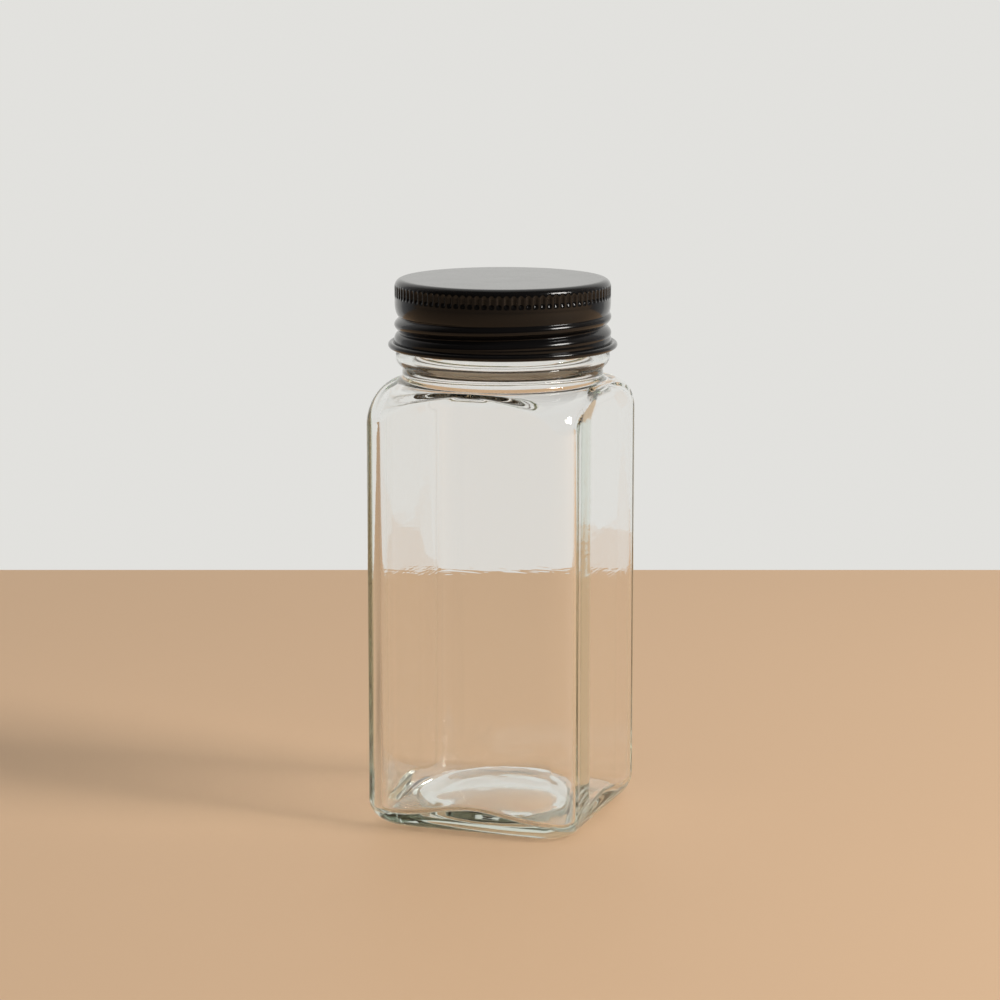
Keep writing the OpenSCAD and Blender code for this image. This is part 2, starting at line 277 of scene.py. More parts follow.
def new_object(name, verts, faces, smooth=True):
    mesh = bpy.data.meshes.new(name)
    mesh.from_pydata([tuple(v) for v in verts], [], faces)
    mesh.polygons.foreach_set("use_smooth", [smooth] * len(mesh.polygons))
    mesh.update()
    thing = bpy.data.objects.new(name, mesh)
    bpy.context.scene.collection.objects.link(thing)
    return thing


def ring_mesh(name, rings, closed_ends, smooth=True):
    """Object through rings of points, in their order. Its ends close in poles, or its last ring joins its first."""
    rings = np.asarray(rings)
    rows, columns = rings.shape[:2]
    verts = rings.reshape(-1, 3)
    k = np.arange(columns)
    nxt = (k + 1) % columns
    faces = []
    last = rows - 1 if closed_ends else rows
    for j in range(last):
        a, b = j * columns, ((j + 1) % rows) * columns
        faces += np.stack([a + k, a + nxt, b + nxt, b + k], 1).tolist()
    if closed_ends:
        verts = np.vstack([verts, rings[0].mean(0), rings[-1].mean(0)])
        low, high = rows * columns, rows * columns + 1
        faces += np.stack([nxt, k, np.full(columns, low)], 1).tolist()
        faces += np.stack([last * columns + k, last * columns + nxt, np.full(columns, high)], 1).tolist()
    return new_object(name, verts, faces, smooth)


def lathe(name, profile, columns, closed_ends=True):
    """Turned piece from a profile of (radius, height) points that runs with the solid on its left."""
    profile = np.asarray(profile)
    a = TURN * np.arange(columns) / columns
    rings = np.stack([np.outer(profile[:, 0], np.cos(a)), np.outer(profile[:, 0], np.sin(a)),
                      np.repeat(profile[:, 1:2], columns, 1)], -1)
    return ring_mesh(name, rings, closed_ends)


def arc(centre_r, centre_z, radius, start, end, steps):
    """Points of (radius, height) along an arc, its angles in degrees from the outward direction."""
    a = np.radians(np.linspace(start, end, steps))
    return [(centre_r + radius * math.cos(x), centre_z + radius * math.sin(x)) for x in a]


def spread(start, end, steps):
    """Points at even steps on a straight line."""
    return [tuple(x) for x in np.linspace(start, end, steps)]


def give_mask(thing, name, by_row, columns):
    """Gives each row of points its value, and the two poles the values of their rows."""
    values = np.append(np.repeat(by_row, columns), [by_row[0], by_row[-1]])
    mask = thing.data.attributes.new(name, "FLOAT", "POINT")
    mask.data.foreach_set("value", values.astype(np.float32))


def add_body(tree, build, inputs):
    """Fills a Geometry Nodes tree: its named inputs, what build makes of them, and the closing nodes."""
    face = tree.interface
    face.new_socket("Mesh", in_out="INPUT", socket_type="NodeSocketGeometry")
    for name, value in inputs.items():
        kind = "NodeSocketInt" if isinstance(value, int) else "NodeSocketFloat"
        kind = "NodeSocketMaterial" if isinstance(value, bpy.types.Material) else kind
        face.new_socket(name, in_out="INPUT", socket_type=kind)
    face.new_socket("Mesh", in_out="OUTPUT", socket_type="NodeSocketGeometry")
    source = tree.nodes.new("NodeGroupInput")
    given = {s.name: Wire(tree, s) for s in source.outputs if s.name}
    shape = build(given)
    shape = shape.node("GeometryNodeRealizeInstances", None, {0: shape})
    shape = shape.node("GeometryNodeSetMaterial", None, {"Geometry": shape, "Material": given["Finish"]})
    tree.links.new(shape.socket, tree.nodes.new("NodeGroupOutput").inputs[0])


def shape_with_nodes(thing, name, build, inputs):
    """Runs a Geometry Nodes tree on an object and keeps the result as its plain mesh."""
    tree = bpy.data.node_groups.new(name, "GeometryNodeTree")
    add_body(tree, build, inputs)
    modifier = thing.modifiers.new(name, "NODES")
    modifier.node_group = tree
    for item in tree.interface.items_tree:
        if item.in_out == "INPUT" and item.name in inputs:
            modifier[item.identifier] = inputs[item.name]
    evaluated = thing.evaluated_get(bpy.context.evaluated_depsgraph_get())
    made = bpy.data.meshes.new_from_object(evaluated)
    thing.modifiers.clear()
    old, thing.data = thing.data, made
    bpy.data.meshes.remove(old)
    made.name = thing.name


def around(position):
    """Radius, angle in turns, height, and cosine and sine of the angle of a position, as wires."""
    x, y, z = (position.node("ShaderNodeSeparateXYZ", None, {0: position}, n) for n in range(3))
    radius = (x * x + y * y).math("SQRT")
    return radius, y.math("ARCTAN2", x) / TURN, z, x / radius, y / radius


def push_out(given, cos_a, sin_a, distance, lift=0.0):
    """Moves the mesh's points away from the axis, and up."""
    offset = cos_a.node("ShaderNodeCombineXYZ", None, {"X": cos_a * distance, "Y": sin_a * distance, "Z": lift})
    return offset.node("GeometryNodeSetPosition", None, {"Geometry": given["Mesh"], "Offset": offset})


def read(given, name):
    """The mask of this name."""
    return given["Mesh"].node("GeometryNodeInputNamedAttribute", {"data_type": "FLOAT"}, {"Name": name},
                              "Attribute")


def wound_around(given, turn, z):
    """How far a height is from the nearest crest of the thread, in turns, and the height of that crest."""
    wound = (z - given["Crest height"]) / given["Pitch"] - turn
    lap = wound.math("ROUND")
    return wound - lap, (lap + turn) * given["Pitch"] + given["Crest height"]


def settle(thing, body, node):
    """Sets a finished piece on its body, and for the CAD node that it stands for."""
    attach(thing, body)
    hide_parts(node)


# ---------------------------------------------------------------- materials


def new_material(name):
    """An empty material with a Principled shader, and Object coordinates to build patterns on."""
    made = bpy.data.materials.new(name)
    made.use_nodes = True
    tree = made.node_tree
    tree.nodes.clear()
    shader = tree.nodes.new("ShaderNodeBsdfPrincipled")
    tree.links.new(shader.outputs[0], tree.nodes.new("ShaderNodeOutputMaterial").inputs["Surface"])
    place = add_node(tree, "ShaderNodeTexCoord", output="Object")
    return made, shader, place


def noise(place, per_metre, detail=2.0, rough=0.5):
    """Noise from 0 to 1 with so many cells in a metre, or so many along each axis."""
    if isinstance(per_metre, tuple):
        place = place.node("ShaderNodeMapping", None, {"Vector": place, "Scale": per_metre})
        per_metre = 1.0
    return place.node("ShaderNodeTexNoise", None,
                      {"Vector": place, "Scale": per_metre, "Detail": detail, "Roughness": rough})


def set_plain(shader, **values):
    for name, value in values.items():
        shader.inputs[name.replace("_", " ")].default_value = value


def drive(shader, **wires):
    for name, wire in wires.items():
        wire.tree.links.new(wire.socket, shader.inputs[name.replace("_", " ")])


def bumped(height, distance):
    """A normal from a height of 0 to 1 that stands for this distance."""
    return height.node("ShaderNodeBump", None, {"Height": height, "Distance": distance})


def scaled(tone, by):
    return tuple(by * c for c in tone)


def glass_material(s):
    """Clear glass, rippled in fine level lines, that tints a long way through it and lets lamplight through."""
    made, shader, place = new_material("clear_flint_glass")
    set_plain(shader, Roughness=0.0, IOR=1.5, Transmission_Weight=1.0, Base_Color=(1, 1, 1, 1))
    fine, broad = noise(place, (200, 200, 2200), detail=1.0), noise(place, (70, 70, 320), detail=1.0)
    drive(shader, Normal=bumped(fine + broad * 4, 0.0025 * MM))
    tree = made.node_tree
    shadow = add_node(tree, "ShaderNodeLightPath", output="Is Shadow Ray")
    clear = shadow.node("ShaderNodeBsdfTransparent", None, {"Color": (*s.shade, 1)})
    mixed = shadow.node("ShaderNodeMixShader", None,
                        {"Fac": shadow, 1: Wire(tree, shader.outputs[0]), 2: clear})
    absorb = add_node(tree, "ShaderNodeVolumeAbsorption", None,
                      {"Color": (*s.tint, 1), "Density": s.tint_density})
    out = next(n for n in tree.nodes if n.type == "OUTPUT_MATERIAL")
    tree.links.new(absorb.socket, out.inputs["Volume"])
    tree.links.new(mixed.socket, out.inputs["Surface"])
    return made


def lacquer_material(s):
    """Black lacquer with a few specks of grey dust and a faint unevenness."""
    made, shader, place = new_material("black_lacquer")
    set_plain(shader, Metallic=0.0, IOR=1.25, Specular_IOR_Level=0.5, Coat_Weight=0.6, Coat_Roughness=0.1,
              Coat_IOR=1.32)
    cloud = noise(place, 160, detail=3.0, rough=0.55)
    dust = noise(place, 5200).ease(0.72, 0.80)
    drive(shader, Base_Color=blend(dust * 0.5, s.lacquer, scaled(s.lacquer, 5)),
          Roughness=s.gloss + (cloud - 0.5) * 0.08 + dust * 0.1,
          Normal=bumped(noise(place, 1400) + noise(place, 300, detail=1.0), 0.01 * MM))
    return made


def foam_material(s):
    """Matt foam with small pores, each darkened with painted shade where it dents."""
    made, shader, place = new_material("liner_foam")
    set_plain(shader, IOR=1.45, Specular_IOR_Level=0.3)
    pores = place.node("ShaderNodeTexVoronoi", None, {"Vector": place, "Scale": 2600}).ease(0.2, 0.6)
    cloud = noise(place, 240, detail=3.0)
    # the pores mask darkens the foam's colour where each pore dents: painted shade
    drive(shader, Base_Color=blend(pores * 0.6 + cloud * 0.4, scaled(s.foam, 0.86), s.foam),
          Roughness=0.78 + noise(place, 900) * 0.12, Normal=bumped(pores, 0.04 * MM))
    return made


def plastic_material(s):
    """Natural moulded plastic with a satin grain."""
    made, shader, place = new_material("natural_plastic")
    set_plain(shader, IOR=1.5, Specular_IOR_Level=0.5)
    cloud = noise(place, 130, detail=3.0)
    drive(shader, Base_Color=blend(cloud, scaled(s.plastic, 0.93), s.plastic),
          Roughness=0.33 + noise(place, 700, detail=3.0) * 0.14,
          Normal=bumped(noise(place, 6000, rough=0.6), 0.012 * MM))
    return made


# ---------------------------------------------------------------- glass

GLASS_COLUMNS = 512
CORNER_CROWDING = 0.125  # radians by which the columns of points move towards the corners
HOLLOW_SHARES = (0.08, 0.25, 0.45, 0.62, 0.76, 0.87, 0.95)  # rows across the hollow, as shares of its radius
RING_SHARES = ((0.2, 0.0), (0.3, 1.0), (0.72, 1.0), (0.82, 0.0))  # rows across the bearing ring, with stipple
WAVY = {"hollow": 0.5, "side": 1.0, "cove": 0.6, "bead": 0.4, "neck": 0.15, "floor": 0.8}
THREAD_RUN_OUT = 0.1  # turns in which the glass thread's ends run out

Row = namedtuple("Row", "side corner side_z corner_z dip out inside thread stipple")


def make_row(side, corner, z, corner_z=None, dip=0.0, out=0.0, inside=0.0, thread=0.0, stipple=0.0):
    """A ring of the jar: its reach to a side and to a corner, its heights there, how far the middles of its
    sides stand in, and its masks."""
    return Row(side, corner, z, z if corner_z is None else corner_z, dip, out, inside, thread, stipple)


def round_row(r, z, **masks):
    return make_row(r, r, z, **masks)


def quarter(u):
    """Height of a quarter of a round of radius 1."""
    return math.sqrt(max(0.0, 1 - u * u))


def smooth_step(u):
    return u * u * (3 - 2 * u)


def gathered(steps):
    """Shares from 0 to 1, gathered at 0, that space the points on a quarter round evenly."""
    return [1 - math.cos(math.pi / 2 * k / steps) for k in range(steps + 1)]


def wall_reach(z, full, foot, top):
    """Reach at height z of a wall, by the rule of the part's source. The foot has its lowest height, its rise
    and how far it is drawn in; the shoulder has its highest height, its rise and its reach there."""
    foot_z, foot_h, draw = foot
    top_z, top_h, top_reach = top
    if z < foot_z + foot_h:
        return full - draw * (1 - quarter(1 - (z - foot_z) / foot_h))
    if z > top_z - top_h:
        return top_reach + (full - top_reach) * quarter((z - top_z + top_h) / top_h)
    return full


def corner_reach(side, r):
    return (side - r) * math.sqrt(2) + r


def bearings(columns):
    """Angles of the upright columns of points, closer together at the four corners."""
    t = TURN * np.arange(columns) / columns
    return t + CORNER_CROWDING * np.sin(4 * t)


def square_ring(a, row):
    """Points at the angles a on a rounded square. The middle of a side stands in by the row's dip, and runs out
    to the full square towards the corners."""
    r = (row.side * math.sqrt(2) - row.corner) / (math.sqrt(2) - 1)
    c = row.side - r
    folded = np.abs((a + math.pi / 4) % (math.pi / 2) - math.pi / 4)
    near, far = np.cos(folded), np.sin(folded)
    on_arc = c * (near + far) + np.sqrt(np.maximum(r * r - c * c * (1 - 2 * near * far), 0))
    reach = np.where(far * row.side <= c * near, row.side / near, on_arc)
    half_way = 0.5
    along = np.clip((row.side * far / near / max(c, MM) - half_way) / (1 - half_way), 0, 1)
    reach -= row.dip * (1 - smooth_step(along))
    z = row.side_z + (row.corner_z - row.side_z) * (0.5 - 0.5 * np.cos(4 * a))
    return np.stack([reach * np.cos(a), reach * np.sin(a), z], 1)


def base_rows(s, first_side, first_corner):
    """From the middle of the hollow out over the bearing ring to the foot."""
    ball = (s.pushup_r ** 2 + s.pushup_h ** 2) / (2 * s.pushup_h)
    rows = []
    for share in HOLLOW_SHARES:
        r = s.pushup_r * share
        rows.append(round_row(r, s.pushup_h - ball + math.sqrt(ball ** 2 - r * r), out=WAVY["hollow"]))
    lip_rise, lip_in = 0.12 * MM, 0.4 * MM
    rows += [round_row(s.pushup_r, lip_rise), round_row(s.pushup_r + lip_in, 0)]
    for share, stipple in RING_SHARES:
        rows.append(make_row(s.pushup_r + (first_side - s.pushup_r) * share,
                             s.pushup_r + (first_corner - s.pushup_r) * share, 0, stipple=stipple))
    return rows


def outer_rows(s):
    """From the middle of the underside up the outside to the rim."""
    full_corner = corner_reach(s.half_side, s.corner_r)
    side_foot = (0, s.foot_h * 0.8, s.foot_side_in)
    corner_foot = (0, s.foot_h, s.foot_corner_in)
    top_r = s.neck_r + s.cove
    side_top = (s.shoulder_z, s.shoulder_side_h, top_r)
    corner_top = (s.shoulder_z, s.shoulder_corner_h, top_r)
    low, high = s.foot_h, s.shoulder_z - s.shoulder_corner_h
    heights = [s.foot_h * rise for rise in gathered(11)]
    heights += list(np.linspace(low, high, 17)[1:-1])
    heights += [s.shoulder_z - s.shoulder_corner_h * drop for drop in reversed(gathered(14))]
    rows = base_rows(s, s.half_side - s.foot_side_in, full_corner - s.foot_corner_in)
    for z in heights:
        rows.append(make_row(wall_reach(z, s.half_side, side_foot, side_top),
                             wall_reach(z, full_corner, corner_foot, corner_top), z, out=WAVY["side"]))
    for up in np.linspace(0, 1, 6)[1:]:
        rows.append(round_row(s.neck_r + s.cove * (1 - quarter(1 - up)), s.shoulder_z + s.cove * up,
                              out=WAVY["cove"]))
    tube = (s.bead_out ** 2 + s.bead_half_h ** 2) / (2 * s.bead_out)
    centre_r = s.neck_r + s.bead_out - tube
    nearly = 0.999
    for z in np.linspace(-1, 1, 15) * s.bead_half_h * nearly:
        r = max(s.neck_r, centre_r + math.sqrt(tube ** 2 - z * z))
        rows.append(round_row(r, s.bead_z + z, out=WAVY["bead"]))
    for z in np.linspace(s.thread_low - s.thread_w, s.thread_high + s.thread_w, 33):
        rows.append(round_row(s.neck_r, z, thread=1.0))
    for r, z in arc(s.neck_r - s.rim_round, s.rim_z - s.rim_round, s.rim_round, 0, 90, 6):
        rows.append(round_row(r, z))
    return rows


def inner_rows(s):
    """From the rim down the bore and the inner walls to the middle of the floor."""
    bore = s.neck_r - s.neck_wall
    flared = bore + s.neck_flare
    rows = [round_row(r, z) for r, z in arc(bore + s.rim_round, s.rim_z - s.rim_round, s.rim_round, 90, 180, 5)]
    inside_top = s.shoulder_z - s.wall * 0.5
    neck_top, neck_foot = s.rim_z - 3 * MM, inside_top + 1 * MM
    for z in np.linspace(neck_top, neck_foot, 14):
        along = min(max((s.flare_z - z) / (s.flare_z - neck_foot), 0), 1)
        rows.append(round_row(bore + s.neck_flare * smooth_step(along), z, inside=WAVY["neck"]))

    side = s.half_side - s.wall + s.wall_thin
    full = (side, corner_reach(side, s.inner_corner_r))
    floor = (s.floor_side_z, s.floor_corner_z)
    foot_h = (s.inner_side_h, s.inner_corner_h)
    foot = tuple(zip(floor, foot_h, (s.inner_side_in, s.inner_corner_in)))
    top = ((inside_top, s.inner_shoulder_side_h, flared), (inside_top, s.inner_shoulder_corner_h, flared))

    def inner(z, corner_z, dip):
        reach = [wall_reach(height, *of_wall) for height, *of_wall in zip((z, corner_z), full, foot, top)]
        rows.append(make_row(*reach, z, corner_z=corner_z, inside=WAVY["side"], dip=s.wall_thin * dip))

    for drop in gathered(17):
        z = inside_top - s.inner_shoulder_corner_h * drop
        inner(z, z, quarter(1 - drop))
    for z in np.linspace(inside_top - s.inner_shoulder_corner_h, floor[0] + foot_h[0], 27)[1:]:
        inner(z, z, 1)
    for dip, rise in zip(np.linspace(1, 0, 13), reversed(gathered(12))):
        inner(*(low + high * rise for low, high in zip(floor, foot_h)), dip)

    edge = rows[-1]
    for f in np.linspace(0.95, 0.05, 13):
        square = f ** 4
        z, corner_z = (low + (s.floor_middle_z - low) * (1 - f * f) for low in floor)
        rows.append(make_row(f * edge.side, f * (edge.side + (edge.corner - edge.side) * square), z,
                             corner_z=z + (corner_z - z) * square, inside=WAVY["floor"]))
    return rows


def thread_and_waves(given):
    """Raises the glass thread and the stipple under the base, and makes the blown surfaces uneven."""
    position = given["Mesh"].node("GeometryNodeInputPosition")
    radius, turn, z, cos_a, sin_a = around(position)
    off_crest, crest_z = wound_around(given, turn, z)
    off_crest = (off_crest * given["Pitch"] / (given["Thread width"] / 2)).math("ABSOLUTE").math("MINIMUM", 1)
    ridge = (off_crest * (math.pi / 2)).math("COSINE")
    low, high, fade = given["Thread start"], given["Thread end"], given["Pitch"] * THREAD_RUN_OUT
    there = crest_z.ease(low, low + fade) * (1 - crest_z.ease(high - fade, high))
    thread = ridge * ridge * there * given["Thread height"] * read(given, "thread")

    near_corner = (turn * (4 * TURN)).math("COSINE").math("MULTIPLY", -1).ease(-0.1, 0.5)
    stipple = ((turn * TURN * given["Stipples"]).math("COSINE") * 0.5 + 0.5) * near_corner
    lift = (1 - stipple) * given["Stipple height"] * read(given, "stipple")

    def waves(per_metre, seed, height):
        seeded = (seed, 2 * seed, seed)
        moved = position.node("ShaderNodeVectorMath", {"operation": "ADD"}, {0: position, 1: seeded})
        field = moved.node("ShaderNodeTexNoise", None, {"Vector": moved, "Scale": per_metre, "Detail": 1.0})
        return (field - 0.5) * 2 * height

    out, inside = read(given, "out"), read(given, "inside")
    heavy = ((cos_a + sin_a) * -math.sqrt(0.5)).math("MAXIMUM", 0).math("POWER", 6)
    wave = waves(55.0, 3.7, given["Inner wave"]) * inside
    wave = wave + (waves(60.0, 9.1, given["Outer wave"]) - given["Outer wave"]) * out
    wave = wave - heavy * given["Heavy corner"] * inside.ease(0.5, 1.0)
    return push_out(given, cos_a, sin_a, thread + wave, lift)


class SPICEJAR_OT_glass(bpy.types.Operator):
    """Build the glass jar: square body, shoulder, threaded neck and thick base"""

    bl_idname = "spicejar.glass"
    bl_label = "Glass jar"

    def execute(self, context):
        s, t = context.scene.jar_glass, context.scene.jar_thread
        rows = outer_rows(s) + inner_rows(s)
        a = bearings(GLASS_COLUMNS)
        glass = ring_mesh("glass_jar", [square_ring(a, row) for row in rows], True)
        for name in ("out", "inside", "thread", "stipple"):
            give_mask(glass, name, [getattr(row, name) for row in rows], GLASS_COLUMNS)
        shape_with_nodes(glass, "glass_thread_and_waves", thread_and_waves, {
            "Pitch": t.pitch, "Crest height": t.crest_z, "Thread height": s.thread_h,
            "Thread width": s.thread_w, "Thread start": s.thread_low, "Thread end": s.thread_high,
            "Stipples": s.stipples, "Stipple height": s.stipple_h, "Inner wave": s.wave_in,
            "Outer wave": s.wave_out, "Heavy corner": s.heavy, "Finish": glass_material(s)})
        settle(glass, "jar", "jar")
        return {"FINISHED"}


# ---------------------------------------------------------------- lid

COLUMNS_IN_A_FLUTE = 10


def lid_profile(s):
    """The sheet's section from the middle of the underside of the top, down the inside, round the wire edge, up
    the outside and over the top, with its masks of rolled grooves and of flutes."""
    points, groove, flute = [], [], []

    def run(more, rolled=0.0, fluted=0.0):
        points.extend(more)
        groove.extend([rolled] * len(more))
        flute.extend([fluted] * len(more))

    under = s.top_z - s.sheet
    inner_crown = s.crown_r - s.crown_wall
    inner_skirt = s.skirt_r - s.sheet
    waist = s.top_roll_z - s.top_roll_h
    bend, pole, edge = 0.9 * MM, 2 * MM, 0.03 * MM
    run(spread((pole + 1 * MM, under), (inner_crown - bend - 0.3 * MM, under), 4))
    run(arc(inner_crown - bend, under - bend, bend, 80, 0, 5))
    run([(inner_crown, s.top_roll_z + 0.5 * MM)])
    run(spread((s.crown_r - s.sheet, s.top_roll_z), (inner_skirt, waist), 12), rolled=1.0)
    run(spread((inner_skirt, waist - 0.2 * MM), (inner_skirt, s.curl_z + 0.1 * MM), 24), rolled=1.0)
    run(arc(s.curl_at, s.curl_z, s.curl_r, -150, 143, 24))
    run(arc(s.curl_at, s.curl_z, s.curl_r, 145, 146, 2))
    gap_z = s.curl_z + 0.4 * s.curl_r
    run([(s.skirt_r + edge, gap_z), (s.skirt_r, gap_z + edge)])
    run(spread((s.skirt_r, gap_z + 5 * edge), (s.skirt_r, waist - 0.1 * MM), 42), rolled=1.0)
    run(spread((s.skirt_r, waist), (s.crown_r, s.top_roll_z), 20), rolled=1.0)
    run(spread((s.crown_r, s.top_roll_z + 0.2 * MM), (s.crown_r, s.top_z - s.crown_round), 24), fluted=1.0)
    run(arc(s.crown_r - s.crown_round, s.top_z - s.crown_round, s.crown_round, 7, 90, 11), fluted=1.0)
    run(spread((s.crown_r - s.crown_round - 0.6 * MM, s.top_z), (pole, s.top_z), 5))
    return points, groove, flute


def rolled_sheet(given):
    """Rolls the screw grooves into the lid's skirt and presses the flutes round its crown."""
    radius, turn, z, cos_a, sin_a = around(given["Mesh"].node("GeometryNodeInputPosition"))
    off_crest, crest_z = wound_around(given, turn, z)
    crest = (off_crest * math.pi).math("COSINE").math("MAXIMUM", 0).math("POWER", given["Crest swell"])
    crest = crest * (1 - crest_z.ease(given["Crest end"], given["Crest end"] + given["Crest fade"]))

    def roll(way):
        """Depth of a full round roll, 0 at its start and 1 at the end of its way."""
        way = way.math("MAXIMUM", 0).math("MINIMUM", 1)
        return 1 - (1 - way * way).math("SQRT")

    below_band = roll((given["Band foot"] - z) / given["Band foot roll"])
    above_foot = roll((z - given["Skirt foot"]) / given["Skirt foot roll"])
    depth = (1 - crest).math("MINIMUM", below_band).math("MINIMUM", above_foot)
    rolled = depth * given["Groove depth"] * read(given, "groove")

    flute = turn * given["Flutes"]
    across = (flute - flute.math("ROUND")) * TURN * radius / given["Flutes"] / (given["Flute width"] * 0.5)
    dip = (1 - across * across).math("MAXIMUM", 0)
    low, high, fade = given["Flute foot"], given["Flute top"], given["Flute run-out"]
    dip = dip * z.ease(low, low + fade) * (1 - z.ease(high - fade, high))
    pressed = dip * given["Flute depth"] * read(given, "flute")
    return push_out(given, cos_a, sin_a, (rolled + pressed) * -1)


class SPICEJAR_OT_lid(bpy.types.Operator):
    """Build the black sheet-metal lid with its flutes, rolled thread and wire edge"""

    bl_idname = "spicejar.lid"
    bl_label = "Screw lid"

    def execute(self, context):
        s, t = context.scene.jar_lid, context.scene.jar_thread
        points, groove, flute = lid_profile(s)
        columns = COLUMNS_IN_A_FLUTE * s.flutes
        lid = lathe("screw_lid", points, columns)
        for name, mask in (("groove", groove), ("flute", flute)):
            give_mask(lid, name, mask, columns)
        shape_with_nodes(lid, "rolled_sheet", rolled_sheet, {
            "Pitch": t.pitch, "Crest height": t.crest_z, "Crest swell": s.swell, "Crest end": s.crest_end,
            "Crest fade": s.crest_fade, "Groove depth": s.groove, "Skirt foot": s.foot_roll_z,
            "Skirt foot roll": s.foot_roll_h, "Band foot": s.top_roll_z, "Band foot roll": s.top_roll_h,
            "Flutes": s.flutes, "Flute width": s.flute_w, "Flute depth": s.flute_depth,
            "Flute top": s.flute_top, "Flute foot": s.flute_foot, "Flute run-out": s.flute_fade,
            "Finish": lacquer_material(s)})
        settle(lid, "lid", "lid")
        return {"FINISHED"}


# ---------------------------------------------------------------- liner and sifter


class SPICEJAR_OT_liner(bpy.types.Operator):
    """Build the foam liner, with the print that the rim leaves in it"""

    bl_idname = "spicejar.liner"
    bl_label = "Foam liner"

    def execute(self, context):
        s, g = context.scene.jar_fitments, context.scene.jar_glass
        low, high = s.liner_z, s.liner_z + s.liner_t
        edge, pole, printed_z = 0.2 * MM, 2 * MM, s.liner_z + s.print_depth
        print_low, print_high = g.neck_r - g.neck_wall, s.flange_r
        points = [(pole, low), (print_low - 0.6 * MM, low)]
        points += [(print_low, printed_z), (print_high, printed_z), (print_high + 0.25 * MM, low)]
        points += arc(s.liner_r - edge, low + edge, edge, -90, 0, 5)
        points += arc(s.liner_r - edge, high - edge, edge, 0, 90, 5)
        points += [(pole, high)]
        liner = lathe("foam_liner", points, 128)
        liner.data.materials.append(foam_material(s))
        settle(liner, "liner", "liner")
        return {"FINISHED"}


def holes_in_deck(given):
    """Adds the sifter's deck with its middle hole and its ring of holes, each with a rounded lip."""

    def circle(radius, steps):
        return given["Mesh"].node("GeometryNodeCurvePrimitiveCircle", None,
                                  {"Resolution": steps, "Radius": radius}, "Curve")

    def join(*parts):
        made = parts[0].tree.nodes.new("GeometryNodeJoinGeometry")
        for part in reversed(parts):
            made.id_data.links.new(part.socket, made.inputs[0])
        return Wire(parts[0].tree, made.outputs[0])

    def raised(shape, height):
        up = shape.node("ShaderNodeCombineXYZ", None, {"Z": height})
        return shape.node("GeometryNodeTransform", None, {"Geometry": shape, "Translation": up})

    ring = circle(given["Hole circle"], given["Holes"])
    edges = ring.node("GeometryNodeInstanceOnPoints", None,
                      {"Points": ring, "Instance": circle(given["Hole"], 40)})
    holes = join(edges.node("GeometryNodeRealizeInstances", None, {0: edges}), circle(given["Middle hole"], 48))
    outline = join(circle(given["Deck radius"], 96), holes)
    sheet = outline.node("GeometryNodeFillCurve", None, {"Curve": outline})
    plate = sheet.node("GeometryNodeExtrudeMesh", None,
                       {"Mesh": sheet, "Offset Scale": given["Thickness"], "Individual": False}, "Mesh")
    back = sheet.node("GeometryNodeFlipFaces", None, {"Mesh": sheet})
    lip = given["Thickness"] * 0.5
    moulded = holes.node("GeometryNodeCurveToMesh", None, {"Curve": holes, "Profile Curve": circle(lip, 12)})
    whole = join(join(plate, back), raised(moulded, lip))
    return join(given["Mesh"], raised(whole, given["Deck height"]))


class SPICEJAR_OT_sifter(bpy.types.Operator):
    """Build the plastic sifter: flange, sleeve with sealing rings, and a deck with nine holes"""

    bl_idname = "spicejar.sifter"
    bl_label = "Sifter"

    def execute(self, context):
        s, g = context.scene.jar_fitments, context.scene.jar_glass
        bore = s.sleeve_r - s.sleeve_wall
        rise, edge, bevel, lead = 1.2 * MM, 0.2 * MM, 0.15 * MM, 0.3 * MM
        top = s.deck_z + s.deck_t + rise
        points = [(bore + bevel, s.sleeve_foot), (s.sleeve_r - lead, s.sleeve_foot)]
        points += [(s.sleeve_r, s.sleeve_foot + 0.5 * MM)]
        for ring_below_rim in (5.0, 2.5):
            points += arc(s.sleeve_r - lead, g.rim_z - ring_below_rim * MM, 0.43 * MM, -44, 44, 7)
        points += [(s.sleeve_r, g.rim_z - lead), (s.sleeve_r + 0.25 * MM, g.rim_z)]
        points += arc(s.flange_r - edge, g.rim_z + edge, edge, -90, 0, 4)
        points += arc(s.flange_r - edge, top - edge, edge, 0, 90, 4)
        points += arc(bore + edge, top - edge, edge, 90, 180, 4)
        points += [(bore, s.deck_z + s.deck_t / 2), (bore, s.sleeve_foot + bevel)]
        sifter = lathe("sifter", points, 160, closed_ends=False)
        shape_with_nodes(sifter, "sifter_holes", holes_in_deck, {
            "Hole circle": s.ring_r, "Hole": s.ring_hole_r, "Middle hole": s.middle_hole_r,
            "Holes": s.ring_holes, "Deck radius": bore + 0.1 * MM, "Deck height": s.deck_z,
            "Thickness": s.deck_t, "Finish": plastic_material(s)})
        settle(sifter, "jar", "shaker_insert")
        return {"FINISHED"}


# ---------------------------------------------------------------- stage


def direction(azimuth, elevation):
    """Unit vector towards the side that a view of this azimuth and elevation is seen from."""
    return Vector((math.sin(azimuth) * math.cos(elevation), -math.cos(azimuth) * math.cos(elevation),
                   math.sin(elevation)))


